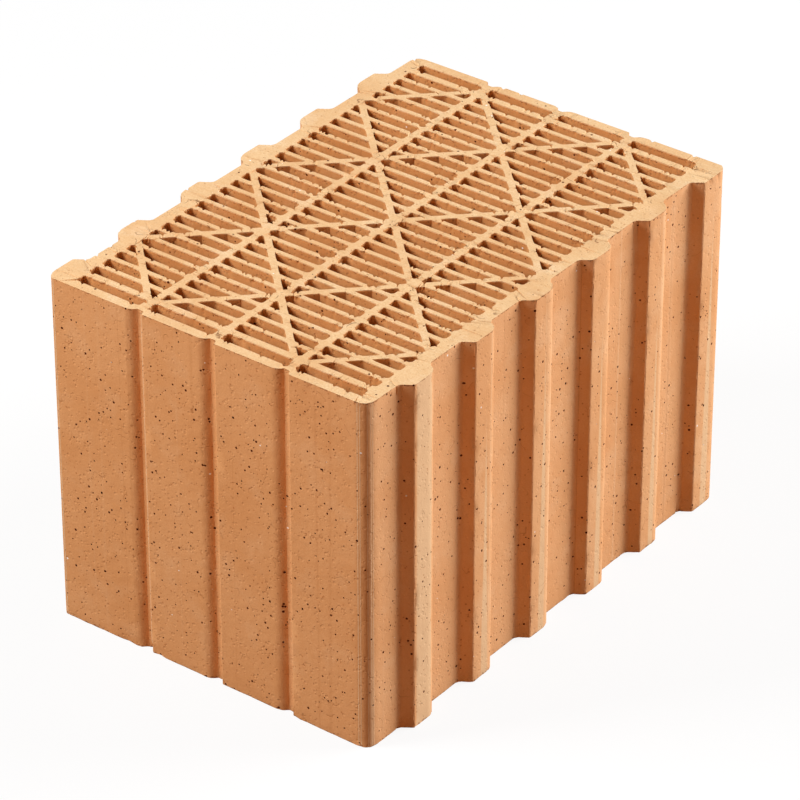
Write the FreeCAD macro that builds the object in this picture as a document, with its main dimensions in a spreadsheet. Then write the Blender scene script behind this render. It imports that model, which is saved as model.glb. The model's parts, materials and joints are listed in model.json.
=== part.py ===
"""Hollow clay block: one fired piece with a slotted section, diagonal webs and tongue-and-groove sides.

The frame is millimetres with the origin at the middle of the underside. X runs along the block's
length, Y across it from one toothed side to the other, and Z up along the slots, the way that the
clay left the die.
"""
import FreeCAD, Part
import os
import re

import Sketcher

NODE = "clay_block"
BAY_COUNT = 4            # rows of slots across the block
SLOTS_PER_DIAGONAL = 5   # columns of slots from one crossing of the diagonals to the next

# Sizes that are set by themselves, in millimetres.
SIZES = {
    "length": 365.0,             # along X, from end face to end face
    "width": 248.0,              # laying width: the core and one row of tongues
    "height": 249.0,             # ground height
    "tongue_height": 8.0,        # how far the tongues stand off the core
    "tongue_pitch": 60.83,       # from tongue to tongue
    "tongue_base": 30.4,         # tongue at its root
    "tongue_flank": 5.3,         # run of a slanted flank along X
    "tongue_edge_radius": 2.0,   # rounding of a tongue's crest edges
    "tongue_root_radius": 5.0,   # hollow between flank and groove floor
    "corner_radius": 5.0,        # upright corners of the block
    "end_wall": 7.2,             # solid clay between an end face and the first slots
    "end_web": 4.5,              # least web between the end slots and the others
    "side_wall": 9.0,            # solid clay between a groove floor and the slots
    "slot_width": 8.1,           # clear width of a slot along X
    "slot_corner": 1.3,          # how far the corners of a slot are broken
    "cross_web": 3.2,            # web between two slots of a row
    "long_web": 4.4,             # web between two rows of slots
    "end_long_web": 6.4,         # the same web where it stands between the end slots
    "diagonal_web": 4.2,         # thickness of the diagonal webs
    "key_width": 10.0,           # upright key grooves in the end faces
    "key_depth": 2.0,
    "overrun": 5.0,              # how far the die cores run past the ground faces
}

# Sizes that follow from the others.
DERIVED = {
    "core_width": "width - tongue_height",
    "crest_level": "core_width / 2 + tongue_height",
    "slot_pitch": "slot_width + cross_web",
    "slot_length": f"(core_width - 2 * side_wall - {BAY_COUNT - 1} * long_web) / {BAY_COUNT}",
    "bay_pitch": "slot_length + long_web",
    "end_slot_length": "bay_pitch - end_long_web",
    "end_slot_place": "length / 2 - end_wall - slot_width / 2",
    "half_slots": "floor((end_slot_place - slot_width - end_web) / slot_pitch)",
    "diagonal_run": f"{SLOTS_PER_DIAGONAL} * slot_pitch",
    "diagonal_cut": "diagonal_web * sqrt(diagonal_run ^ 2 + bay_pitch ^ 2) / bay_pitch",
    "half_diagonals": f"floor((end_slot_place / diagonal_run + {BAY_COUNT / 2}) / 2)",
    "flank_angle": "atan2(tongue_height; tongue_flank)",
    "edge_run": "tongue_edge_radius * tan(flank_angle / 2)",
    "root_run": "tongue_root_radius * tan(flank_angle / 2)",
    "half_tongues": "floor((length / 2 + tongue_pitch / 4 + tongue_base / 2 - tongue_flank"
                    " - 2 * corner_radius) / tongue_pitch)",
    "end_tongue_start": "half_tongues * tongue_pitch - tongue_pitch / 4 - tongue_base / 2",
    "core_rise": "height + 2 * overrun",
    "key_radius": "(key_width ^ 2 / 4 + key_depth ^ 2) / (2 * key_depth)",
}


def make_sheet(doc):
    """Return the sheet with every size under its own name."""
    sheet = doc.addObject("Spreadsheet::Sheet", "Sizes")
    cells = list(SIZES.items())
    cells += [(name, "=" + formula) for name, formula in DERIVED.items()]
    for row, (name, content) in enumerate(cells, start=1):
        sheet.set(f"A{row}", name)
        sheet.set(f"B{row}", str(content))
        sheet.setAlias(f"B{row}", name)
    doc.recompute()
    return sheet


def bound(expression):
    """Return a formula of size names as an expression on the sheet."""
    def named(word):
        return "Sizes." + word[0] if word[0] in SIZES or word[0] in DERIVED else word[0]

    return re.sub(r"[a-z_]+[0-9]?", named, expression)


def make_sketch(body, sheet, name, outlines, place=("0", "0", "0")):
    """Draw closed outlines level with the ground, about a place given in formulas of size names.

    Each outline is a list of corners, and each corner is (x, y) or (x, y, radius) in formulas of
    size names. A radius turns the side that leaves the corner into an arc, which curves left with
    "+" before the radius and right with "-".
    """
    sketch = body.newObject("Sketcher::SketchObject", name)
    plane = next(f for f in body.Origin.OriginFeatures if f.Role == "XY_Plane")
    sketch.AttachmentSupport = (plane, [""])
    sketch.MapMode = "FlatFace"
    for axis, formula in zip("xyz", place):
        sketch.setExpression(f"AttachmentOffset.Base.{axis}", bound(formula))
    for corners in outlines:
        draw_outline(sketch, sheet, corners)
    return sketch


def draw_outline(sketch, sheet, corners):
    """Add one closed outline to a sketch, with every corner and radius bound to the sheet."""
    def value(formula):
        return float(sheet.evalExpression(bound(formula)))

    def bind(constraint, formula):
        index = sketch.addConstraint(constraint)
        sketch.setExpression(f"Constraints[{index}]", bound(formula))

    first = sketch.GeometryCount
    points = [FreeCAD.Vector(value(corner[0]), value(corner[1]), 0) for corner in corners]
    turns = [corner[2] if len(corner) == 3 else None for corner in corners]
    sides = []
    for i, turn in enumerate(turns):
        start, end = points[i], points[(i + 1) % len(points)]
        side = arc_between(start, end, value(turn[1:]), turn[0]) if turn else Part.LineSegment(start, end)
        sides.append(sketch.addGeometry(side))
    ends = [(2, 1) if turn and turn[0] == "-" else (1, 2) for turn in turns]
    for i, side in enumerate(sides):
        after = (i + 1) % len(sides)
        joint = Sketcher.Constraint("Coincident", side, ends[i][1], first + after, ends[after][0])
        sketch.addConstraint(joint)
        bind(Sketcher.Constraint("DistanceX", side, ends[i][0], points[i].x), corners[i][0])
        bind(Sketcher.Constraint("DistanceY", side, ends[i][0], points[i].y), corners[i][1])
        if turns[i]:
            bind(Sketcher.Constraint("Radius", side, value(turns[i][1:])), turns[i][1:])


def arc_between(start, end, radius, turn):
    """Return the shorter arc of the radius from start to end, curving left for "+" and right for "-"."""
    chord = end - start
    middle = (start + end) / 2
    side = FreeCAD.Vector(-chord.y, chord.x, 0).normalize()
    reach = max(radius ** 2 - chord.Length ** 2 / 4, 0) ** 0.5
    sign = 1 if turn == "+" else -1
    bulge = middle - side * sign * (radius - reach)
    return Part.Arc(start, bulge, end) if sign > 0 else Part.Arc(end, bulge, start)


def add_pad(body, sketch, name, rise="height"):
    """Raise outlines to solid clay, or to solid cores."""
    pad = body.newObject("PartDesign::Pad", name)
    pad.Profile = sketch
    pad.Refine = not body.AllowCompound
    pad.setExpression("Length", bound(rise))
    body.Document.recompute()
    return pad


def cut_pocket(body, sketch, name, rise="height"):
    """Cut outlines away upwards from their own level."""
    pocket = body.newObject("PartDesign::Pocket", name)
    pocket.Profile = sketch
    pocket.Refine = not body.AllowCompound
    pocket.Reversed = True
    pocket.setExpression("Length", bound(rise))
    body.Document.recompute()
    return pocket


def repeat(body, feature, name, axis, spacing, copies):
    """Repeat a feature in a row along an axis of the block."""
    pattern = body.newObject("PartDesign::LinearPattern", name)
    pattern.Originals = [feature]
    pattern.Direction = (next(f for f in body.Origin.OriginFeatures if f.Role == axis), [""])
    pattern.Mode = "Spacing"
    pattern.Refine = not body.AllowCompound
    pattern.setExpression("Offset", bound(spacing))
    pattern.setExpression("Occurrences", bound(copies))
    body.Tip = pattern
    body.Document.recompute()
    return pattern


def core_block(body, sheet):
    """The core between the tongues, with round corners where no end tongue stands."""
    far, side, near = "length / 2", "core_width / 2", "length / 2 - corner_radius"
    low = "core_width / 2 - corner_radius"
    corners = [(f"-({near})", f"-({side})"), (far, f"-({side})"), (far, low, "+corner_radius"),
               (near, side), (f"-({far})", side), (f"-({far})", f"-({low})", "+corner_radius")]
    add_pad(body, make_sketch(body, sheet, "core_outline", [corners]), "core")


def slot_column(long):
    """The outlines of one column of slots with broken corners, one slot in each bay."""
    x, in_x = "slot_width / 2", "(slot_width / 2 - slot_corner)"
    y, in_y = f"{long} / 2", f"({long} / 2 - slot_corner)"
    column = []
    for bay in range(BAY_COUNT):
        mid = f"({bay - (BAY_COUNT - 1) / 2}) * bay_pitch"
        column.append([
            (x, f"{mid} - {in_y}"), (x, f"{mid} + {in_y}"),
            (in_x, f"{mid} + {y}"), (f"0 - {in_x}", f"{mid} + {y}"),
            (f"0 - {x}", f"{mid} + {in_y}"), (f"0 - {x}", f"{mid} - {in_y}"),
            (f"0 - {in_x}", f"{mid} - {y}"), (in_x, f"{mid} - {y}"),
        ])
    return column


def inner_slots(body, sheet):
    """The columns of long slots between the end slots."""
    sketch = make_sketch(body, sheet, "slot_outlines", slot_column("slot_length"),
                         ("0 - half_slots * slot_pitch", "0", "0 - overrun"))
    slots = add_pad(body, sketch, "slots", "core_rise")
    repeat(body, slots, "slot_columns", "X_Axis", "slot_pitch", "2 * half_slots + 1")


def diagonal_gaps(body, sheet, name, lean):
    """The gaps in the slots that leave the diagonal webs, for all the webs that lean one way."""
    half = "diagonal_cut / 2"
    outlines = []
    for line in range(-int(sheet.half_diagonals), int(sheet.half_diagonals) + 1):
        middle = f"({2 * line}) * diagonal_run"
        low = f"max({-BAY_COUNT // 2}; (0 - end_slot_place - {middle}) / diagonal_run)"
        high = f"min({BAY_COUNT // 2}; (end_slot_place - {middle}) / diagonal_run)"
        foot = (f"{middle} + {low} * diagonal_run", f"({lean}) * {low} * bay_pitch")
        head = (f"{middle} + {high} * diagonal_run", f"({lean}) * {high} * bay_pitch")
        outlines.append([(f"{foot[0]} - {half}", foot[1]), (f"{foot[0]} + {half}", foot[1]),
                         (f"{head[0]} + {half}", head[1]), (f"{head[0]} - {half}", head[1])])
    sketch = make_sketch(body, sheet, name + "_outlines", outlines, ("0", "0", "0 - overrun"))
    cut_pocket(body, sketch, name, "core_rise")


def end_slots(body, sheet):
    """The single column of shorter slots behind each end face."""
    sketch = make_sketch(body, sheet, "end_slot_outlines", slot_column("end_slot_length"),
                         ("0 - end_slot_place", "0", "0 - overrun"))
    slots = add_pad(body, sketch, "end_slots", "core_rise")
    repeat(body, slots, "end_slot_columns", "X_Axis", "2 * end_slot_place", "2")


def flank(side, root, lean):
    """Return the corners of one flank from crest to groove floor.

    Args:
        side: sign of Y on the toothed side.
        root: X formula of the flank's foot.
        lean: sign of X from the tongue towards the groove.
    """
    crest = f"{root} - ({lean}) * tongue_flank"
    return [
        (f"{crest} - ({lean}) * edge_run", f"({side}) * crest_level"),
        (f"{crest} + ({lean}) * edge_run * cos(flank_angle)",
         f"({side}) * (crest_level - edge_run * sin(flank_angle))"),
        (f"{root} - ({lean}) * root_run * cos(flank_angle)",
         f"({side}) * (core_width / 2 + root_run * sin(flank_angle))"),
        (f"{root} + ({lean}) * root_run", f"({side}) * core_width / 2"),
    ]


def tongue_side(body, sheet, name, side):
    """One toothed side: a row of tongues and the tongue that ends flush with an end face.

    The two sides are the same outline turned half round the upright axis, so that blocks laid side
    by side lock into each other.
    """
    inner = f"({side}) * (core_width / 2 - side_wall / 2)"
    falling = flank(side, "tongue_base / 2", 1)
    rising = flank(side, "0 - tongue_base / 2", -1)
    edge, root = ("-", "+") if side > 0 else ("+", "-")
    corners = [
        (falling[3][0], inner), (rising[3][0], inner),
        (*rising[3], root + "tongue_root_radius"), rising[2],
        (*rising[1], edge + "tongue_edge_radius"), rising[0],
        (*falling[0], edge + "tongue_edge_radius"), falling[1],
        (*falling[2], root + "tongue_root_radius"), falling[3],
    ]
    first = f"({side}) * tongue_pitch / 4 - (half_tongues - 1) * tongue_pitch"
    sketch = make_sketch(body, sheet, name + "_outline", [corners], (first, "0", "0"))
    tongue = add_pad(body, sketch, name)
    repeat(body, tongue, name + "_row", "X_Axis", "tongue_pitch", "2 * half_tongues - 1")

    ending = flank(side, f"({-side}) * end_tongue_start", side)
    far = f"({-side}) * length / 2"
    corners = [
        (ending[3][0], inner), (far, inner),
        (far, f"({side}) * (crest_level - corner_radius)", "-corner_radius"),
        (f"({-side}) * (length / 2 - corner_radius)", f"({side}) * crest_level"),
        (*ending[0], "-tongue_edge_radius"), ending[1],
        (*ending[2], "+tongue_root_radius"), ending[3],
    ]
    add_pad(body, make_sketch(body, sheet, name + "_end_outline", [corners]), name + "_end")


def key_grooves(body, sheet):
    """Shallow upright grooves in both end faces, in line with the webs between the slot rows."""
    for name, side in (("left_key", -1), ("right_key", 1)):
        face = f"({side}) * length / 2"
        out = f"({side}) * (length / 2 + key_depth)"
        low, high = f"({-side}) * key_width / 2", f"({side}) * key_width / 2"
        corners = [(face, high, "+key_radius"), (face, low), (out, low), (out, high)]
        sketch = make_sketch(body, sheet, name + "_outline", [corners],
                             ("0", f"0 - {BAY_COUNT - 2} / 2 * bay_pitch", "0"))
        key = cut_pocket(body, sketch, name)
        repeat(body, key, name + "_row", "Y_Axis", "bay_pitch", str(BAY_COUNT - 1))


def outer_column(doc, sheet):
    """The clay column before its slots: the core, the tongues and the key grooves."""
    body = doc.addObject("PartDesign::Body", "clay_column")
    body.AllowCompound = False
    core_block(body, sheet)
    tongue_side(body, sheet, "back_tongue", 1)
    tongue_side(body, sheet, "front_tongue", -1)
    key_grooves(body, sheet)
    return body


def die_cores(doc, sheet):
    """The cores that leave the slots, with gaps between them where the diagonal webs run."""
    body = doc.addObject("PartDesign::Body", "die_cores")
    body.AllowCompound = True
    inner_slots(body, sheet)
    diagonal_gaps(body, sheet, "rising_gaps", 1)
    diagonal_gaps(body, sheet, "falling_gaps", -1)
    end_slots(body, sheet)
    return body


def check(doc, block):
    """Raise where an object of the document failed or the block is not one sound solid."""
    for item in doc.Objects:
        if "Invalid" in item.State or "Error" in item.State:
            raise RuntimeError(f"{item.Name} did not build: {item.State}")
        if item.isDerivedFrom("PartDesign::Feature") and item.Shape.isNull():
            raise RuntimeError(f"{item.Name} has no shape")
    if not block.Shape.isValid() or len(block.Shape.Solids) != 1:
        raise RuntimeError("the block is not one sound solid")


def main():
    """Build the block and write its STEP file."""
    os.makedirs("parts", exist_ok=True)
    doc = FreeCAD.newDocument("ClayBlock")
    sheet = make_sheet(doc)
    block = doc.addObject("Part::Cut", NODE)
    block.Base = outer_column(doc, sheet)
    block.Tool = die_cores(doc, sheet)
    doc.recompute()
    check(doc, block)
    block.Label = NODE
    box = block.Shape.BoundBox
    print(f"{NODE}: {len(block.Shape.Faces)} faces, {block.Shape.Volume / 1e6:.4f} dm3, "
          f"{box.XLength:.3f} x {box.YLength:.3f} x {box.ZLength:.3f} mm")
    block.Shape.exportStep(f"parts/{NODE}.step")


main()
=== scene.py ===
"""Looks of a hollow clay block: one fired piece with ragged slots, pores and ground beds.

The block is modelled from the outlines of the CAD node's underside. The outer outline is drawn up
into the skin and the others into the walls of the slots, and the two beds are filled in between
them. The rims are then crumbled and dusted, the pale dust also painting the highlight of their rounded
edges, and pores are pressed into the skin. One fired clay has five finishes, for the ways in which its
surfaces were made; part of their colour is painted light: the beds' paler tone is partly painted top
light, and the dark of the pores, of the pits and of the torn strip under the rims is painted shade.
"""
import json
import logging
import math
import random
from collections.abc import Callable
from dataclasses import dataclass, field
from enum import Enum

import bmesh
import bpy
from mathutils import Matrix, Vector

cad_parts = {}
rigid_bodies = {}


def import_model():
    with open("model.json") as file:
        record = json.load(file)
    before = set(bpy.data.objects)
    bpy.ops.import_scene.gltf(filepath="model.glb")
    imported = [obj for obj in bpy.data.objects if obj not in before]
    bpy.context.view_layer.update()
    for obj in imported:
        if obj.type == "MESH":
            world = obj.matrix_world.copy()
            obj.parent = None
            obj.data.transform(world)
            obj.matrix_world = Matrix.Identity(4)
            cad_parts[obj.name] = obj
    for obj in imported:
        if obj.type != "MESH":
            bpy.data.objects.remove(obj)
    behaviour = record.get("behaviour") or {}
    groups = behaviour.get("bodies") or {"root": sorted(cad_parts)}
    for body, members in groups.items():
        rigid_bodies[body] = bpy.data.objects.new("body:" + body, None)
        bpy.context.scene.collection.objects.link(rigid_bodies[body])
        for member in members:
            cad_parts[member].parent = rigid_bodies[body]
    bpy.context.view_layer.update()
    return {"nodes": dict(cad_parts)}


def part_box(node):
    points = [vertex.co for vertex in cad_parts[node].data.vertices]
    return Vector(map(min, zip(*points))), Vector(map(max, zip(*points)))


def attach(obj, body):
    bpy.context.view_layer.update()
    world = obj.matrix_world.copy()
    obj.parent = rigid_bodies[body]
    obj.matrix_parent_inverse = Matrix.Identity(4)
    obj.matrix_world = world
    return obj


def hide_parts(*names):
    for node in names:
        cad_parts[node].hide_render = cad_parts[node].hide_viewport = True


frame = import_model()

MM = 0.001
NODE = "clay_block"
Socket = bpy.types.NodeSocket
Surface = tuple[Socket, Socket]   # a colour, and a height in millimetres
log = logging.getLogger(NODE)


class Zone(Enum):
    """Where a face of the block lies, which says how its surface was made."""

    END = 0
    SIDE = 1
    BED = 2
    SLOT = 3
    PORE = 4


class Element(Enum):
    """What is selected in edit mode, with the name of its list in a mesh."""

    VERT = "verts"
    EDGE = "edges"
    FACE = "faces"


def linear(hex_colour: str) -> tuple[float, float, float, float]:
    """Turn an sRGB hex colour into the linear colour that shaders take."""
    values = [int(hex_colour[i:i + 2], 16) / 255 for i in (1, 3, 5)]
    return (*(v / 12.92 if v <= 0.04045 else ((v + 0.055) / 1.055) ** 2.4 for v in values), 1.0)


class Nodes:
    """A node tree and the one way to add to it."""

    def __init__(self, tree: bpy.types.NodeTree) -> None:
        """Start from an empty tree."""
        self.tree = tree
        self.tree.nodes.clear()

    def add(self, kind: str, settings: dict | None = None, inputs: dict | None = None,
            output: int | str = 0) -> Socket | None:
        """Add a node, set it and link it.

        Args:
            kind: Blender's name of the node type.
            settings: attributes to set on the node.
            inputs: socket name or number to a value, or to an output socket that is linked to it.
            output: name or number of the output that is wanted.

        Returns:
            That output, or None where the node has none.
        """
        node = self.tree.nodes.new(kind)
        for key, value in (settings or {}).items():
            setattr(node, key, value)
        for key, value in (inputs or {}).items():
            if isinstance(value, Socket):
                self.tree.links.new(value, node.inputs[key])
            else:
                node.inputs[key].default_value = value
        return node.outputs[output] if len(node.outputs) else None

    def seen_plainly(self) -> Socket:
        """Tell what the camera sees, straight or by a mirror or glass, from other light.

        Returns:
            A socket that is 1 for what is seen and 0 for other light.
        """
        camera = self.add("ShaderNodeLightPath", output="Is Camera Ray")
        path = camera.node.outputs
        either = self.add("ShaderNodeMath", {"operation": "MAXIMUM"}, {0: camera, 1: path["Is Glossy Ray"]})
        return self.add("ShaderNodeMath", {"operation": "MAXIMUM"},
                        {0: either, 1: path["Is Transmission Ray"]})


class ClayPaint(Nodes):
    """A material's nodes with the patterns that clay shows; their sizes are in millimetres."""

    SMALLEST = 0.4   # radius of the smallest speck as a share of the largest
    FULL = 0.6       # share of its radius inside which a speck is full

    def __init__(self, name: str) -> None:
        """Make an empty material that knows each point's place on the block in millimetres.

        Args:
            name: what the material is called.
        """
        self.material = bpy.data.materials.new(name)
        self.material.use_nodes = True
        super().__init__(self.material.node_tree)
        at = self.add("ShaderNodeTexCoord", output="Object")
        self.place = self.add("ShaderNodeVectorMath", {"operation": "SCALE"}, {0: at, "Scale": 1 / MM})

    def clouds(self, size: float, low: float, high: float, detail: float = 3.0,
               stretch: tuple[float, float, float] = (1, 1, 1)) -> Socket:
        """Cloudy patches.

        Args:
            size: how wide a patch is.
            low: noise level below which there is no patch.
            high: noise level above which the patch is full.
            detail: how far the patches break up into finer ones.
            stretch: how much shorter the patches are along each axis.

        Returns:
            A socket from 0 to 1.
        """
        at = self.add("ShaderNodeVectorMath", {"operation": "MULTIPLY"}, {0: self.place, 1: stretch})
        noise = self.add("ShaderNodeTexNoise", {}, {"Vector": at, "Scale": 1 / size, "Detail": detail})
        return self.add("ShaderNodeMapRange", {"interpolation_type": "SMOOTHSTEP"},
                        {0: noise, 1: low, 2: high})

    def specks(self, spacing: float, share: float, size: float) -> Socket:
        """Scattered round specks.

        Args:
            spacing: distance between neighbouring places for a speck.
            share: how many of these places have one.
            size: radius of the largest speck.

        Returns:
            A socket that is 1 inside a speck and 0 outside.
        """
        away = self.add("ShaderNodeTexVoronoi", {}, {"Vector": self.place, "Scale": 1 / spacing})
        # A cell's colour is its point's place in the cell, so the lot is drawn with noise from that colour.
        lot = self.add("ShaderNodeTexWhiteNoise", {}, {"Vector": away.node.outputs["Color"]}, "Color")
        chance = self.add("ShaderNodeSeparateColor", {}, {0: lot})
        there = self.add("ShaderNodeMath", {"operation": "LESS_THAN"}, {0: chance, 1: share})
        radius = self.add("ShaderNodeMapRange", {}, {
            0: chance.node.outputs[1], 3: self.SMALLEST * size / spacing, 4: size / spacing})
        inside = self.add("ShaderNodeMath", {"operation": "DIVIDE"}, {0: away, 1: radius})
        round_off = self.add("ShaderNodeMapRange", {"interpolation_type": "SMOOTHSTEP"},
                             {0: inside, 1: 1.0, 2: self.FULL})
        return self.add("ShaderNodeMath", {"operation": "MULTIPLY"}, {0: there, 1: round_off})

    def hairs(self, size: float, width: float, share: float,
              stretch: tuple[float, float, float] = (1, 1, 1)) -> Socket:
        """Hairlines, curved or drawn out along an axis.

        Args:
            size: how far apart the hairlines run.
            width: their width as a share of the noise between two of them.
            share: noise level above which hairlines show.
            stretch: how much shorter the pattern is along each axis.

        Returns:
            A socket that is 1 on a hairline.
        """
        at = self.add("ShaderNodeVectorMath", {"operation": "MULTIPLY"}, {0: self.place, 1: stretch})
        noise = self.add("ShaderNodeTexNoise", {}, {"Vector": at, "Scale": 1 / size, "Detail": 1.0})
        off = self.add("ShaderNodeMath", {"operation": "SUBTRACT"}, {0: noise, 1: 0.5})
        near = self.add("ShaderNodeMath", {"operation": "ABSOLUTE"}, {0: off})
        line = self.add("ShaderNodeMapRange", {"interpolation_type": "SMOOTHSTEP"},
                        {0: near, 1: width, 2: 0.0})
        parts = self.clouds(size * 0.8, share, share + 0.03, 0.0, stretch)
        return self.add("ShaderNodeMath", {"operation": "MULTIPLY"}, {0: line, 1: parts})

    def lay(self, under: Socket | tuple, over: str, mask: Socket, strength: float) -> Socket:
        """Lay one colour over another.

        Args:
            under: the colour below.
            over: sRGB hex colour that is laid on it.
            mask: where it goes, from 0 to 1.
            strength: how well it covers there.

        Returns:
            The colour of both.
        """
        cover = self.add("ShaderNodeMath", {"operation": "MULTIPLY"}, {0: mask, 1: strength})
        return self.add("ShaderNodeMix", {"data_type": "RGBA"}, {0: cover, 6: under, 7: linear(over)}, 2)

    def lift(self, height: Socket | float, mask: Socket, by: float) -> Socket:
        """Return a height in millimetres, raised by so much where a mask is full."""
        return self.add("ShaderNodeMath", {"operation": "MULTIPLY_ADD"}, {0: mask, 1: by, 2: height})


@dataclass(frozen=True)
class ClayFinish:
    """Fired clay: quite matt, finely grained, and cloudy where the kiln burnt it redder."""

    name: str
    clay: str              # colour of most of the surface
    warm: str              # colour where it burnt redder
    pale: str              # colour of rubbed or dusty clay
    grain: float = 0.06    # height of the sandy grain in millimetres
    pits: float = 0.1      # share of the places for a fine pit that have one
    mottle: float = 0.25   # strength of the grain in the colour
    freckles: float = 0.2  # share of the places for a rusty freckle that have one

    def build(self) -> bpy.types.Material:
        """Make the material.

        Returns:
            The finished material.
        """
        paint = ClayPaint(self.name)
        colour, height = self.body(paint)
        colour, height = self.marks(paint, colour, height)
        bump = paint.add("ShaderNodeBump", {}, {"Height": height, "Distance": MM})
        # Open pores scatter the light, so unglazed clay is rough all over and hardly glints at all.
        clay = paint.add("ShaderNodeBsdfPrincipled", {}, {
            "Base Color": colour, "Roughness": 0.95, "IOR": 1.5, "Specular IOR Level": 0.1, "Normal": bump})
        paint.add("ShaderNodeOutputMaterial", {}, {"Surface": clay})
        return paint.material

    def body(self, paint: ClayPaint) -> Surface:
        """The clay itself, before any marks.

        Args:
            paint: the material's nodes.

        Returns:
            Its colour and its height.
        """
        # Real grain is a few tenths of a millimetre wide; here it is drawn a pixel wide, so that it shows.
        grain = paint.clouds(1.1, 0.30, 0.70, 3.0)
        colour = paint.lay(linear(self.clay), self.warm, paint.clouds(55, 0.40, 0.66, 4.0), 0.5)
        colour = paint.lay(colour, self.pale, paint.clouds(23, 0.50, 0.70, 4.0), 0.35)
        colour = paint.lay(colour, self.warm, grain, self.mottle)
        height = paint.lift(paint.lift(0.0, grain, -0.5 * self.grain), paint.clouds(7, 0.3, 0.7, 1.0), 0.1)
        return colour, paint.lift(height, paint.specks(2.9, 0.6, 1.3), -2 * self.grain)

    def marks(self, paint: ClayPaint, colour: Socket, height: Socket) -> Surface:
        """Fine pits of burnt-out sawdust, dark with painted shade, rusty freckles and a few white grains of
        lime.

        Args:
            paint: the material's nodes.
            colour: colour of the clay without them.
            height: its height.

        Returns:
            Colour and height with them.
        """
        pits = paint.specks(3.3, self.pits, 1.05)
        pit_core_shade = paint.add("ShaderNodeMapRange", {}, {0: pits, 1: 0.4, 2: 0.9})
        colour = paint.lay(colour, "#A85C2A", paint.specks(2.7, self.freckles, 0.9), 0.5)
        # Painted shade: the pits' brown and their darker core paint the shade inside the hollows, which the
        # bump alone leaves too light.
        colour = paint.lay(colour, "#8A3A08", pits, 0.9)
        colour = paint.lay(colour, "#4E1E05", pit_core_shade, 0.9)
        colour = paint.lay(colour, "#FFF8F0", paint.specks(6.1, 0.05, 0.9), 0.9)
        return colour, paint.lift(height, pits, -0.4)


@dataclass(frozen=True)
class DrawnClay(ClayFinish):
    """Clay drawn through a steel die: smooth, with fine upright lines, and scratched while soft."""

    lines: float = 0.45    # strength of the lines
    torn_shade_reach: float = 1.5      # how many millimetres the torn strip, darkened with painted shade, reaches down from the rims at most
    height: float = 249.0  # millimetres from rim to rim
    along: int = 1         # axis along the face: 1 for an end, 0 for a side
    ridges: tuple[float, ...] = ()   # where nicks in the die left ridges, in millimetres from the middle

    UPRIGHT = (1.0, 1.0, 0.004)   # draws a pattern out over the block's height

    def marks(self, paint: ClayPaint, colour: Socket, height: Socket) -> Surface:
        """Upright die lines, curved hair scratches, ridges and the torn strip along the rims, darkened with
        painted shade of its chips, under the pits.

        Args:
            paint: the material's nodes.
            colour: colour of the clay without them.
            height: its height.

        Returns:
            Colour and height with them.
        """
        # Real die lines and scratches are a tenth of a millimetre wide; here they are drawn a pixel wide.
        dark = paint.hairs(22, 0.014, 0.52, self.UPRIGHT)
        light = paint.hairs(27, 0.02, 0.50, self.UPRIGHT)
        scratches = paint.hairs(14, 0.010, 0.66)
        colour = paint.lay(colour, "#B5713C", dark, self.lines)
        colour = paint.lay(colour, self.pale, light, self.lines)
        colour = paint.lay(colour, "#A5622F", scratches, 0.4)
        height = paint.lift(height, dark, -0.12 * self.lines)
        height = paint.lift(height, light, 0.10 * self.lines)
        height = paint.lift(height, scratches, -0.12)
        place = paint.add("ShaderNodeSeparateXYZ", {}, {0: paint.place}).node.outputs
        side = paint.add("ShaderNodeMath", {"operation": "SIGN"}, {0: place[1 - self.along]})
        turned = paint.add("ShaderNodeMath", {"operation": "MULTIPLY"}, {0: place[self.along], 1: side})
        for ridge in self.ridges:
            line = paint.add("ShaderNodeMath", {"operation": "COMPARE"}, {0: turned, 1: ridge, 2: 0.3})
            colour = paint.lay(colour, "#F4CDA2", line, 0.7)
            height = paint.lift(height, line, 0.15)
        torn_shade = self.torn_shade(paint, place[2])
        # Painted shade: the torn strip is laid dark brown for the shade that the chips along the rims cast;
        # its dip is real relief.
        colour = paint.lay(colour, "#8A4518", torn_shade, 0.5)
        return super().marks(paint, colour, paint.lift(height, torn_shade, -0.3))

    def torn_shade(self, paint: ClayPaint, up: Socket) -> Socket:
        """The ragged strip under the rims that the cutting wire tore, darkened with painted shade of the chips
        along them.

        Args:
            paint: the material's nodes.
            up: height over the underside.

        Returns:
            A socket that is 1 in the strip.
        """
        from_rim = paint.add("ShaderNodeMath", {"operation": "PINGPONG"}, {0: up, 1: self.height / 2})
        reach = paint.add("ShaderNodeMath", {"operation": "MULTIPLY"},
                          {0: paint.clouds(2.6, 0.42, 0.72, 2.0), 1: self.torn_shade_reach})
        inside = paint.add("ShaderNodeMath", {"operation": "SUBTRACT"}, {0: reach, 1: from_rim})
        return paint.add("ShaderNodeMapRange", {"interpolation_type": "SMOOTHSTEP"},
                         {0: inside, 1: 0.0, 2: 0.3})


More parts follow.
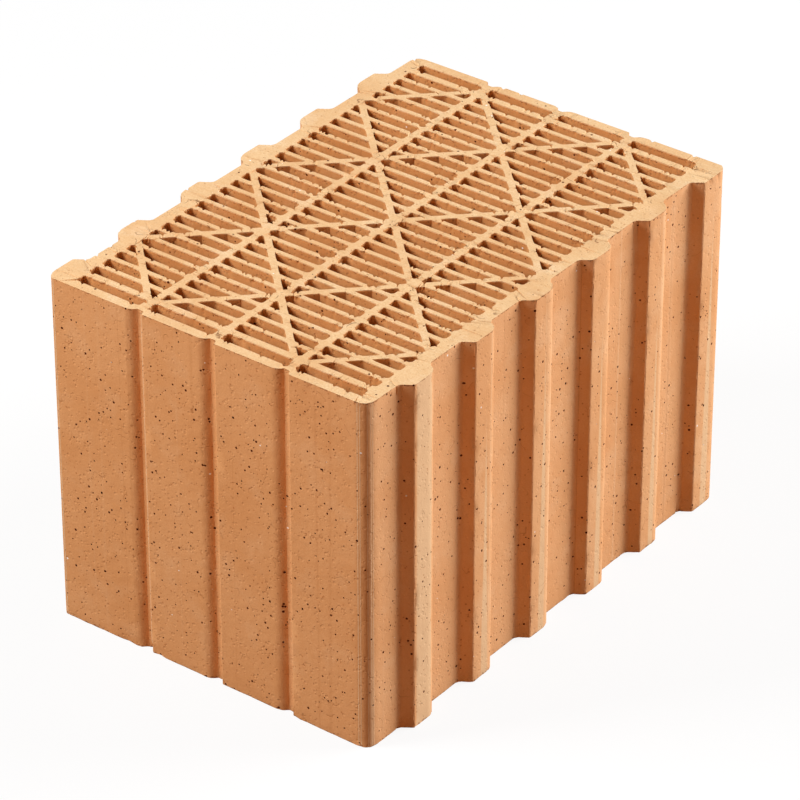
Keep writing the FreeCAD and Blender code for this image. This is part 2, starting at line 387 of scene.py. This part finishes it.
@dataclass(frozen=True)
class ToothedClay(DrawnClay):
    """Drawn clay whose crests rubbed along the cutter's table: they carry pale, dusty bands."""

    pitch: float = 60.83        # millimetres from tongue to tongue
    crest: float = 127.2        # millimetres from the middle of the block to just under the crests
    aside: float = 13.6         # millimetres from the middle of the block to the nearest band
    first: float = 110.0        # millimetres from the middle of the block to just before the first tongue
    first_aside: float = 1.5    # how much further out the band on that tongue lies
    first_half: float = 8.0     # half the width of the band on that tongue
    taper: tuple[float, float] = (2.6, -0.6)     # half the width of the others low down and high up
    tapers: tuple[float, float] = (40.0, 210.0)  # between these heights

    def marks(self, paint: ClayPaint, colour: Socket, height: Socket) -> Surface:
        """Bands up the crests, wide on the first tongue and tapering on the others.

        Args:
            paint: the material's nodes.
            colour: colour of the clay without them.
            height: its height.

        Returns:
            Colour and height with them.
        """
        along = paint.add("ShaderNodeSeparateXYZ", {}, {0: paint.place})
        across, up = along.node.outputs[1:]
        side = paint.add("ShaderNodeMath", {"operation": "SIGN"}, {0: across})
        turned = paint.add("ShaderNodeMath", {"operation": "MULTIPLY"}, {0: along, 1: side})
        first = paint.add("ShaderNodeMath", {"operation": "GREATER_THAN"}, {0: turned, 1: self.first})
        nearer = paint.lift(turned, first, -self.first_aside)
        shifted = paint.add("ShaderNodeMath", {"operation": "SUBTRACT"}, {0: nearer, 1: self.aside})
        off = paint.add("ShaderNodeMath", {"operation": "PINGPONG"}, {0: shifted, 1: self.pitch / 2})
        broad = paint.add("ShaderNodeMapRange", {}, {0: first, 3: -9.0, 4: self.first_half})
        taper = paint.add("ShaderNodeMapRange", {}, {
            0: up, 1: self.tapers[0], 2: self.tapers[1], 3: self.taper[0], 4: self.taper[1]})
        ragged = paint.lift(taper, paint.clouds(30, 0.3, 0.7, 2.0, (1.0, 1.0, 0.15)), 1.2)
        wide = paint.add("ShaderNodeMath", {"operation": "MAXIMUM"}, {0: ragged, 1: broad})
        inside = paint.add("ShaderNodeMath", {"operation": "SUBTRACT"}, {0: wide, 1: off})
        band = paint.add("ShaderNodeMapRange", {"interpolation_type": "SMOOTHSTEP"},
                         {0: inside, 1: -0.4, 2: 1.2})
        out = paint.add("ShaderNodeMath", {"operation": "ABSOLUTE"}, {0: across})
        on_crest = paint.add("ShaderNodeMath", {"operation": "GREATER_THAN"}, {0: out, 1: self.crest})
        mask = paint.add("ShaderNodeMath", {"operation": "MULTIPLY"}, {0: band, 1: on_crest})
        return super().marks(paint, paint.lay(colour, "#EAC499", mask, 0.8), height)


@dataclass(frozen=True)
class GroundClay(ClayFinish):
    """Clay ground flat with a wheel: dusty, open-grained, cracked where webs meet, and paler partly from its
    dust and partly from painted light for the stronger light on the top.
    """

    node_pitch: float = 56.55   # millimetres from one meeting of the webs to the next
    crack_start: float = 4.0    # millimetres from a meeting within which cracks are open
    crack_end: float = 7.0      # millimetres from a meeting at which they close

    def marks(self, paint: ClayPaint, colour: Socket, height: Socket) -> Surface:
        """Faint lines of the grinding wheel and drying cracks at the meetings of the webs.

        Args:
            paint: the material's nodes.
            colour: colour of the clay without them.
            height: its height.

        Returns:
            Colour and height with them.
        """
        # The wheel's real lines are a tenth of a millimetre apart; these are as coarse as they need to show.
        lines = paint.clouds(1.6, 0.45, 0.70, 2.0, (1.0, 0.03, 1.0))
        colour = paint.lay(colour, self.warm, lines, 0.25)
        along = paint.add("ShaderNodeSeparateXYZ", {}, {0: paint.place})
        reach = []
        for part in along.node.outputs[:2]:
            off = paint.add("ShaderNodeMath", {"operation": "PINGPONG"}, {0: part, 1: self.node_pitch / 2})
            reach.append(paint.add("ShaderNodeMapRange", {}, {0: off, 1: self.crack_end, 2: self.crack_start}))
        near = paint.add("ShaderNodeMath", {"operation": "MULTIPLY"}, {0: reach[0], 1: reach[1]})
        hairs = paint.hairs(13, 0.022, 0.5)
        cracks = paint.add("ShaderNodeMath", {"operation": "MULTIPLY"}, {0: near, 1: hairs})
        colour = paint.lay(colour, "#6A3010", cracks, 0.6)
        height = paint.lift(paint.lift(height, lines, -0.03), cracks, -0.15)
        return super().marks(paint, colour, height)


FINISHES = {
    # The plain outer face of a wall: smooth to the hand, orange-brown and peppered with dark pits.
    Zone.END: DrawnClay(
        "Fired clay drawn through a die, end face", clay="#E4A771", warm="#D6935A", pale="#EAB686",
        grain=0.09, pits=0.2, mottle=0.4, freckles=0.3, lines=0.15, ridges=(112.2, 113.8, -122.5, -55.6)),
    # The tongues and grooves: a little paler than the ends, with more lines from the die's teeth.
    Zone.SIDE: ToothedClay(
        "Fired clay drawn through a die, toothed side", clay="#E7AF7E", warm="#DC9B65", pale="#EEC297",
        grain=0.07, pits=0.15, mottle=0.35, freckles=0.2, lines=0.4, along=0,
        ridges=(179.8, 177.7, 176.3, -178.5)),
    # The beds: the wheel has opened the clay and left its dust, so they look dry and granular; their paler
    # colour is partly that dust and partly painted light, for the stronger light that falls on the top.
    Zone.BED: GroundClay(
        "Fired clay ground flat", clay="#EDC99A", warm="#DDAA75", pale="#F8DEBA",
        grain=0.12, pits=0.05, mottle=0.5),
    # The slots: dragged over the cores of the die, so they look coarser and darker than the skin.
    Zone.SLOT: DrawnClay(
        "Fired clay drawn over die cores", clay="#D5985E", warm="#C4834B", pale="#E2AC78",
        grain=0.12, pits=0.1, mottle=0.4, lines=0.1, torn_shade_reach=2.4),
    # The pores: hollows where sawdust burnt out; their dark brown is painted shade of the hollow.
    Zone.PORE: ClayFinish(
        "Burnt-out pore in fired clay", clay="#54220A", warm="#441804", pale="#6A300E", grain=0.05, pits=0.0),
}


@dataclass
class ClayBlock:
    """The fired block, drawn up from the outlines of the CAD node."""

    foot: Vector
    top: Vector
    skin_step: float = 5.4 * MM     # size of the faces on the outer skin
    slot_step: float = 4.1 * MM     # stretches of a slot's outline
    fine_strip: float = 3 * MM      # height of the strip under the top in which they are finer
    slack: float = 0.2 * MM         # how far the skin stays inside the CAD box
    crumble: float = 0.26 * MM      # how far the rims have crumbled back
    edge: float = 0.8 * MM          # height of the broken edge along a rim
    nick: float = 0.3 * MM          # depth of a nick in an upright edge
    stray: float = 1.3 * MM         # how far the points of a flat face are shifted about
    key_pitch: float = 56.6 * MM    # from one key groove of an end face to the next
    key_width: float = 10.0 * MM
    key_fall: float = 1.8 * MM      # how much deeper a key groove is beside its right lip
    tongue_pitch: float = 60.83 * MM
    tongue_height: float = 8.0 * MM
    crest_end: float = 4.3 * MM     # from the middle of the block to the nearest right-hand corner of a tongue
    pore_depth: float = 0.6 * MM
    pores: tuple[tuple[float, float], ...] = ((1.1, 0.05), (1.4, 0.04), (2.1, 0.008))
    # Each is a width in millimetres, and the share of the flat faces that have a pore of that width.
    chance: random.Random = field(default_factory=lambda: random.Random(7))

    def build(self) -> bpy.types.Object:
        """Model the block.

        Returns:
            The block as one piece.
        """
        self.trace_outlines()
        self.draw_skin()
        self.draw_slots()
        self.fill_beds()
        self.crumble_rims({Zone.END, Zone.SIDE}, 0.03, 21)
        self.crumble_rims({Zone.SLOT}, 0.05, 5)
        self.dust_and_highlight_rims()
        self.loosen_skin()
        self.press_pores()
        bpy.ops.object.mode_set(mode="OBJECT")
        bpy.ops.object.shade_smooth_by_angle(angle=math.radians(35))
        self.piece.data.calc_loop_triangles()
        log.info("block: %d triangles", len(self.piece.data.loop_triangles))
        return self.piece

    def mesh(self) -> bmesh.types.BMesh:
        """Return the mesh that is being edited."""
        return bmesh.from_edit_mesh(self.piece.data)

    def pick(self, element: Element, test: Callable[..., bool]) -> int:
        """Select just the visible elements that pass a test.

        Args:
            element: what is selected.
            test: says of one vertex, edge or face whether it is wanted.

        Returns:
            How many were selected.
        """
        bpy.ops.mesh.select_mode(type=element.name)
        bpy.ops.mesh.select_all(action="DESELECT")
        found = [e for e in getattr(self.mesh(), element.value) if not e.hide and test(e)]
        for one in found:
            one.select_set(True)
        bmesh.update_edit_mesh(self.piece.data)
        return len(found)

    def dress(self, zone: Zone) -> None:
        """Give the selected faces the finish of a zone."""
        self.piece.active_material_index = zone.value
        bpy.ops.object.material_slot_assign()

    def trace_outlines(self) -> None:
        """Copy the CAD node and keep the outlines of its underside."""
        node = frame["nodes"][NODE]
        bpy.ops.object.select_all(action="DESELECT")
        self.piece = node.copy()
        self.piece.data = node.data.copy()
        self.piece.name = "fired_block"
        bpy.context.scene.collection.objects.link(self.piece)
        self.piece.select_set(True)
        bpy.context.view_layer.objects.active = self.piece
        self.piece.data.materials.clear()
        for zone in Zone:
            self.piece.data.materials.append(FINISHES[zone].build())
        bpy.ops.mesh.customdata_custom_splitnormals_clear()
        bpy.ops.object.mode_set(mode="EDIT")
        bpy.ops.mesh.select_all(action="SELECT")
        bpy.ops.mesh.remove_doubles(threshold=1e-6)
        self.pick(Element.VERT, lambda v: v.co.z > self.foot.z + 1e-5)
        bpy.ops.mesh.delete(type="VERT")
        bpy.ops.mesh.select_mode(type="EDGE")
        bpy.ops.mesh.select_all(action="SELECT")
        bpy.ops.mesh.region_to_loop()
        bpy.ops.mesh.select_all(action="INVERT")
        bpy.ops.mesh.delete(type="EDGE_FACE")
        log.info("outlines: %d points", len(self.mesh().verts))

    def split(self, step: float) -> None:
        """Divide the visible edges evenly into stretches.

        Args:
            step: length that no stretch exceeds.
        """
        def cuts(edge: bmesh.types.BMEdge) -> int:
            """Return how many cuts an edge needs."""
            return math.ceil(edge.calc_length() / step) - 1

        for number in {cuts(e) for e in self.mesh().edges if not e.hide} - {0}:
            self.pick(Element.EDGE, lambda e: cuts(e) == number)
            bpy.ops.mesh.subdivide(number_cuts=number)

    def pick_skin(self) -> None:
        """Select the outer outline and all that hangs on it."""
        far = max(v.co.x for v in self.mesh().verts)
        self.pick(Element.VERT, lambda v: v.co.x > far - 1e-5)
        bpy.ops.mesh.select_linked()

    def rise(self, start: float, levels: list[float]) -> None:
        """Extrude the selected outlines from level to level.

        Args:
            start: the level that they lie on.
            levels: the levels that follow, upwards.
        """
        bpy.ops.mesh.select_mode(type="EDGE")
        for level in levels:
            bpy.ops.mesh.extrude_region_move(TRANSFORM_OT_translate={"value": (0, 0, level - start)})
            start = level

    def refine(self, level: float) -> None:
        """Divide the long edges of the outlines at a level in three, and select all of the outlines.

        Args:
            level: the level that the outlines lie on.
        """
        def on_level(edge: bmesh.types.BMEdge) -> bool:
            """Say whether an edge lies on the level."""
            return all(abs(v.co.z - level) < 1e-5 for v in edge.verts)

        self.pick(Element.EDGE, lambda e: on_level(e) and e.calc_length() > 2 * MM)
        bpy.ops.mesh.subdivide(number_cuts=2)
        self.pick(Element.EDGE, on_level)

    def draw_skin(self) -> None:
        """Draw the outer outline up in even rows, with a broken edge along both rims."""
        self.pick_skin()
        bpy.ops.mesh.hide(unselected=True)
        self.split(self.skin_step)
        self.soften_outline()
        size = self.top - self.foot
        bpy.ops.mesh.select_all(action="SELECT")
        bpy.ops.transform.resize(value=(1 - 2 * self.slack / size.x, 1 - 2 * self.slack / size.y, 1))
        low, high = self.foot.z + self.edge, self.top.z - self.edge
        rows = math.ceil((high - low) / self.skin_step)
        self.rise(self.foot.z, [low + (high - low) * i / rows for i in range(rows + 1)])
        self.refine(high)
        self.rise(high, [self.top.z])
        self.face_outwards()
        self.dress(Zone.SIDE)
        self.pick(Element.FACE, lambda f: abs(f.calc_center_median().x) > self.top.x - 6 * MM
                  and abs(f.normal.x) > 0.7)
        self.dress(Zone.END)
        self.nick_edges()
        bpy.ops.mesh.reveal(select=False)
        log.info("skin: %d faces", len(self.mesh().faces))

    def soften_outline(self) -> None:
        """Deepen the key grooves and round off the corners that the die has worn round.

        These are the lip of each key groove that lies to the left as one faces it, the right-hand corner
        of each tongue and the two corners of the block that stand beside a groove.
        """
        def past_key(at: Vector) -> float:
            """Return how far right of a key groove's middle a place is, or 1 m away from the keys."""
            inside = abs(at.x) > self.top.x - 4 * MM and abs(at.y) < 1.5 * self.key_pitch
            return math.copysign(1, at.x) * math.remainder(at.y, self.key_pitch) if inside else 1.0

        def key_lip(at: Vector) -> float:
            """Return the distance from the left lip of a key groove."""
            return abs(past_key(at) + self.key_width / 2)

        def tongue_corner(at: Vector) -> float:
            """Return the distance from the right-hand corner of a tongue."""
            along = math.remainder(self.crest_end - math.copysign(at.x, at.x * at.y), self.tongue_pitch)
            return math.hypot(along, self.top.y - abs(at.y))

        def block_corner(at: Vector) -> float:
            """Return the distance from a corner of the block that stands beside a groove."""
            side = self.top.y - self.tongue_height
            return math.hypot(self.top.x - abs(at.x), side - abs(at.y)) if at.x * at.y > 0 else 1.0

        self.pick(Element.VERT, lambda v: -0.25 < past_key(v.co) / self.key_width < 0.4)
        bpy.ops.transform.resize(value=(1 - self.key_fall / self.top.x, 1, 1), center_override=(0, 0, 0))
        worn = ((key_lip, 3 * MM, 4), (tongue_corner, 6 * MM, 10), (block_corner, 8 * MM, 10))
        for near, reach, passes in worn:
            self.pick(Element.VERT, lambda v: near(v.co) < reach)
            bpy.ops.mesh.remove_doubles(threshold=1.3 * MM)
            self.pick(Element.EDGE, lambda e: all(near(v.co) < 2 * reach for v in e.verts)
                      and e.calc_length() > 2.5 * MM)
            bpy.ops.mesh.subdivide(number_cuts=2)
            self.pick(Element.VERT, lambda v: near(v.co) < reach)
            bpy.ops.mesh.vertices_smooth(factor=0.5, repeat=passes)

    def draw_slots(self) -> None:
        """Draw the outlines of the slots up: coarsely through the block, and finely near the top."""
        self.pick_skin()
        bpy.ops.mesh.hide(unselected=False)
        self.split(self.slot_step)
        bpy.ops.mesh.select_all(action="SELECT")
        bpy.ops.mesh.vertices_smooth(factor=0.2)
        fine = self.top.z - self.fine_strip
        self.rise(self.foot.z, [self.foot.z + self.edge, fine])
        self.refine(fine)
        self.rise(fine, [self.top.z - self.edge, self.top.z])
        self.face_outwards()
        self.dress(Zone.SLOT)
        bpy.ops.mesh.reveal(select=False)
        log.info("slots: %d faces", len(self.mesh().faces))

    def face_outwards(self) -> None:
        """Turn all visible faces away from the middle of their wall, and leave them selected."""
        bpy.ops.mesh.select_mode(type="FACE")
        bpy.ops.mesh.select_all(action="SELECT")
        bpy.ops.mesh.normals_make_consistent(inside=False)

    def nick_edges(self) -> None:
        """Wear small nicks into the rounded upright edges of the skin."""
        number = self.pick(Element.VERT, lambda v: max(abs(v.normal.x), abs(v.normal.y)) < 0.995
                           and self.chance.random() < 0.06)
        bpy.ops.transform.shrink_fatten(value=-self.nick)
        log.info("nicks in upright edges: %d", number)

    def fill_beds(self) -> None:
        """Fill the top and the underside between the outlines."""
        for level in (self.foot.z, self.top.z):
            self.pick(Element.EDGE, lambda e: all(abs(v.co.z - level) < 1e-5 for v in e.verts))
            bpy.ops.mesh.fill(use_beauty=True)
            self.pick(Element.FACE, lambda f: all(abs(v.co.z - level) < 1e-5 for v in f.verts))
            self.dress(Zone.BED)
        self.face_outwards()
        log.info("beds: %d faces", len(self.mesh().faces))

    def crumble_rims(self, walls: set[Zone], notches: float, seed: int) -> None:
        """Break the rims between the beds and some walls back into the clay by a ragged little step.

        Args:
            walls: what the walls below the rims are.
            notches: share of the rim's points that a deeper notch has broken out of.
            seed: start of the random steps.
        """
        wanted = {zone.value for zone in walls}

        def on_bed(v: bmesh.types.BMVert) -> bool:
            """Say whether a point lies on a bed."""
            return any(f.material_index == Zone.BED.value for f in v.link_faces)

        for level in (self.foot.z, self.top.z):
            def on_wall(v: bmesh.types.BMVert) -> bool:
                """Say whether a point lies on one of the walls, near this bed."""
                return (abs(v.co.z - level) < 2.5 * self.edge
                        and any(f.material_index in wanted for f in v.link_faces))

            self.mesh().verts.index_update()
            points = [v for v in self.mesh().verts if on_wall(v) and on_bed(v)]
            rim = {v.index for v in points}
            below = {e.other_vert(v).index: v.index for v in points for e in v.link_edges
                     if not on_bed(e.other_vert(v))}
            broken = {v.index for v in points if self.chance.random()
                      < notches * (5 if Zone.SLOT in walls and self.at_meeting(v.co) else 1)}
            self.pick(Element.VERT, lambda v: v.index in broken or below.get(v.index) in broken)
            bpy.ops.transform.shrink_fatten(value=-4.5 * self.crumble)
            self.pick(Element.VERT, lambda v: v.index in below)
            bpy.ops.transform.vertex_random(offset=0.6 * self.crumble, seed=seed + 2)
            self.pick(Element.VERT, lambda v: v.index in rim and self.chance.random() < 0.15)
            bpy.ops.transform.shrink_fatten(value=-2.1 * self.crumble)
            self.pick(Element.VERT, lambda v: v.index in rim)
            bpy.ops.transform.shrink_fatten(value=-0.5 * self.crumble)
            bpy.ops.transform.vertex_random(offset=self.crumble, seed=seed)
            bpy.ops.transform.resize(value=(1, 1, 0), center_override=(0, 0, level))
            log.info("rims at %.0f mm: %d points, %d notches", abs(level) / MM, len(rim), len(broken))

    def dust_and_highlight_rims(self) -> None:
        """Dress the broken edges of the slots like the beds: partly the pale dust that the wheel left on them,
        partly a painted highlight where their rounded edges catch the light.
        """
        low, high = self.foot.z + 1.4 * self.edge, self.top.z - 1.4 * self.edge
        self.pick(Element.FACE, lambda f: f.material_index == Zone.SLOT.value
                  and (all(v.co.z > high for v in f.verts) or all(v.co.z < low for v in f.verts)))
        self.dress(Zone.BED)

    def at_meeting(self, at: Vector) -> bool:
        """Say whether a place is close to a meeting of the webs, where drying opens cracks."""
        return all(abs(math.remainder(part, self.key_pitch)) < 10 * MM for part in at.xy)

    def loosen_skin(self) -> None:
        """Shift the points of the flat outer faces about in their own planes, so that no grid shows."""
        low, high = self.foot.z + 0.6 * self.skin_step, self.top.z - 0.6 * self.skin_step
        skin = (Zone.END.value, Zone.SIDE.value)
        for axis in (0, 1):
            levels = {round(f.calc_center_median()[axis], 5) for f in self.mesh().faces
                      if abs(f.normal[axis]) > 0.999 and f.material_index in skin}
            for level in sorted(levels):
                if not self.pick(Element.VERT, lambda v: abs(v.co[axis] - level) < 1e-5
                                 and low < v.co.z < high
                                 and all(e.calc_length() > 0.7 * self.skin_step for e in v.link_edges)
                                 and all(abs(f.normal[axis]) > 0.999 for f in v.link_faces)):
                    continue
                bpy.ops.transform.vertex_random(offset=self.stray, seed=int(abs(level) / MM))
                flat, middle = [1, 1, 1], [0, 0, 0]
                flat[axis], middle[axis] = 0, level
                bpy.ops.transform.resize(value=flat, center_override=middle)

    def press_pores(self) -> None:
        """Press pores of three sizes into the skin where sawdust in the clay has burnt out."""
        smallest = 0.5 * self.skin_step ** 2
        skin = (Zone.END.value, Zone.SIDE.value)

        def amid_flat(face: bmesh.types.BMFace) -> bool:
            """Say whether a face and all that touch it lie in one plane."""
            return all(f.normal.dot(face.normal) > 0.999 for v in face.verts for f in v.link_faces)

        def corners(face: bmesh.types.BMFace) -> tuple[int, ...]:
            """Return a face's points, because the order of the faces isn't the same on each run."""
            return tuple(sorted(v.index for v in face.verts))

        for width, share in self.pores:
            self.mesh().verts.index_update()
            room = sorted(corners(f) for f in self.mesh().faces if f.material_index in skin
                          and f.calc_area() > smallest and amid_flat(f))
            chosen = {points for points in room if self.chance.random() < share}
            number = self.pick(Element.FACE, lambda f: corners(f) in chosen)
            before = len(self.mesh().verts)
            bpy.ops.mesh.poke()
            self.mesh().verts.index_update()
            self.pick(Element.VERT, lambda v: v.index >= before)
            bpy.ops.mesh.bevel(offset_type="ABSOLUTE", offset=width * MM / 2, affect="VERTICES")
            bpy.ops.mesh.select_mode(type="FACE")
            bpy.ops.mesh.inset(thickness=0.1 * MM, depth=-self.pore_depth, use_individual=True)
            bpy.ops.mesh.select_more()
            # Painted shade: each pore and the faces round it take the dark brown finish.
            self.dress(Zone.PORE)
            log.info("pores of %.1f mm: %d", width, number)


@dataclass(frozen=True)
class Softbox:
    """A rectangular studio lamp that faces the block."""

    name: str
    turn: float                # where it hangs, in degrees about the upright axis from +X
    rise: float                # its height over the block's middle in degrees
    away: float                # its distance in metres
    size: tuple[float, float]  # its width and height in metres
    level: float               # how brightly it lights a white card that faces it, where 1 is white
    colour: str = "#FFFFFF"

    def hang(self) -> None:
        """Hang the lamp."""
        a, e = math.radians(self.turn), math.radians(self.rise)
        out = Vector((math.cos(a) * math.cos(e), math.sin(a) * math.cos(e), math.sin(e)))
        bpy.ops.object.light_add(type="AREA", location=Vector((0, 0, 0.12)) + out * self.away)
        lamp = bpy.context.object
        lamp.name = self.name
        lamp.data.shape = "RECTANGLE"
        lamp.data.size, lamp.data.size_y = self.size
        lamp.data.energy = self.level * (math.pi * self.away) ** 2
        lamp.data.color = linear(self.colour)[:3]
        lamp.rotation_euler = out.to_track_quat("Z", "Y").to_euler()
        log.info("lamp: %s", self.name)


@dataclass
class Studio:
    """A white floor and backdrop, two soft lights at the sides, a weak warm card, and the camera."""

    azimuth: float = -52.7      # where the camera stands, in degrees about the upright axis from -Y
    elevation: float = 32.1     # its height over the target in degrees
    distance: float = 2.977     # its distance from the target in metres
    target: Vector = field(default_factory=lambda: Vector((-0.0072, -0.0106, 0.1245)))
    lens: float = 210.9         # its focal length in millimetres
    shading: float = 0.12       # share of the floor's own shading that is seen, which carries the shadow
    fill: float = 0.02          # strength of the even light from all around
    lamps: tuple[Softbox, ...] = (
        Softbox("right_softbox", -38, 22, 3.2, (2.2, 1.3), 1.55),
        Softbox("left_softbox", 136, 38, 2.6, (1.1, 1.1), 1.06),
        Softbox("warm_card", -143, 12, 2.6, (2.0, 1.4), 0.21, "#FFAC62"),
    )

    def build(self) -> None:
        """Set up the floor, the lamps, the surroundings and the camera."""
        self.lay_floor()
        for lamp in self.lamps:
            lamp.hang()
        self.surround()
        self.stand_camera()

    def lay_floor(self) -> None:
        """A broad floor, white to the eye but with the block's shadow, that throws little light back."""
        bpy.ops.mesh.primitive_plane_add(size=12)
        floor = bpy.context.object
        floor.name = "floor"
        material = bpy.data.materials.new("Matt white studio floor")
        material.use_nodes = True
        nodes = Nodes(material.node_tree)
        white = nodes.add("ShaderNodeEmission", {}, {"Color": (1, 1, 1, 1), "Strength": 1.0})
        matt = nodes.add("ShaderNodeBsdfDiffuse", {}, {"Color": linear("#F4F4F4")})
        dull = nodes.add("ShaderNodeBsdfDiffuse", {}, {"Color": linear("#606060")})
        shown = nodes.add("ShaderNodeMixShader", {}, {0: self.shading, 1: white, 2: matt})
        both = nodes.add("ShaderNodeMixShader", {}, {0: nodes.seen_plainly(), 1: dull, 2: shown})
        nodes.add("ShaderNodeOutputMaterial", {}, {"Surface": both})
        floor.data.materials.append(material)
        log.info("floor laid")

    def surround(self) -> None:
        """White to the eye, and a weak even light for everything else."""
        world = bpy.data.worlds.new("White studio")
        bpy.context.scene.world = world
        world.use_nodes = True
        nodes = Nodes(world.node_tree)
        strength = nodes.add("ShaderNodeMapRange", {}, {0: nodes.seen_plainly(), 3: self.fill, 4: 1.0})
        white = nodes.add("ShaderNodeBackground", {}, {"Color": (1, 1, 1, 1), "Strength": strength})
        nodes.add("ShaderNodeOutputWorld", {}, {"Surface": white})
        bpy.context.scene.view_settings.view_transform = "Standard"

    def stand_camera(self) -> None:
        """Stand the camera where the photo was taken from."""
        a, e = math.radians(self.azimuth), math.radians(self.elevation)
        back = Vector((math.sin(a) * math.cos(e), -math.cos(a) * math.cos(e), math.sin(e)))
        bpy.ops.object.camera_add(location=self.target + back * self.distance)
        camera = bpy.context.object
        camera.rotation_euler = back.to_track_quat("Z", "Y").to_euler()
        camera.data.lens = self.lens
        camera.data.sensor_width = 36
        bpy.context.scene.camera = camera
        log.info("camera: %.1f mm", self.lens)


def main() -> None:
    """Build the block and the studio around it."""
    logging.basicConfig(level=logging.INFO)
    foot, top = (Vector(corner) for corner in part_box(NODE))
    piece = ClayBlock(foot, top).build()
    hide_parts(NODE)
    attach(piece, "root")
    Studio().build()


if __name__ == "__main__":
    main()
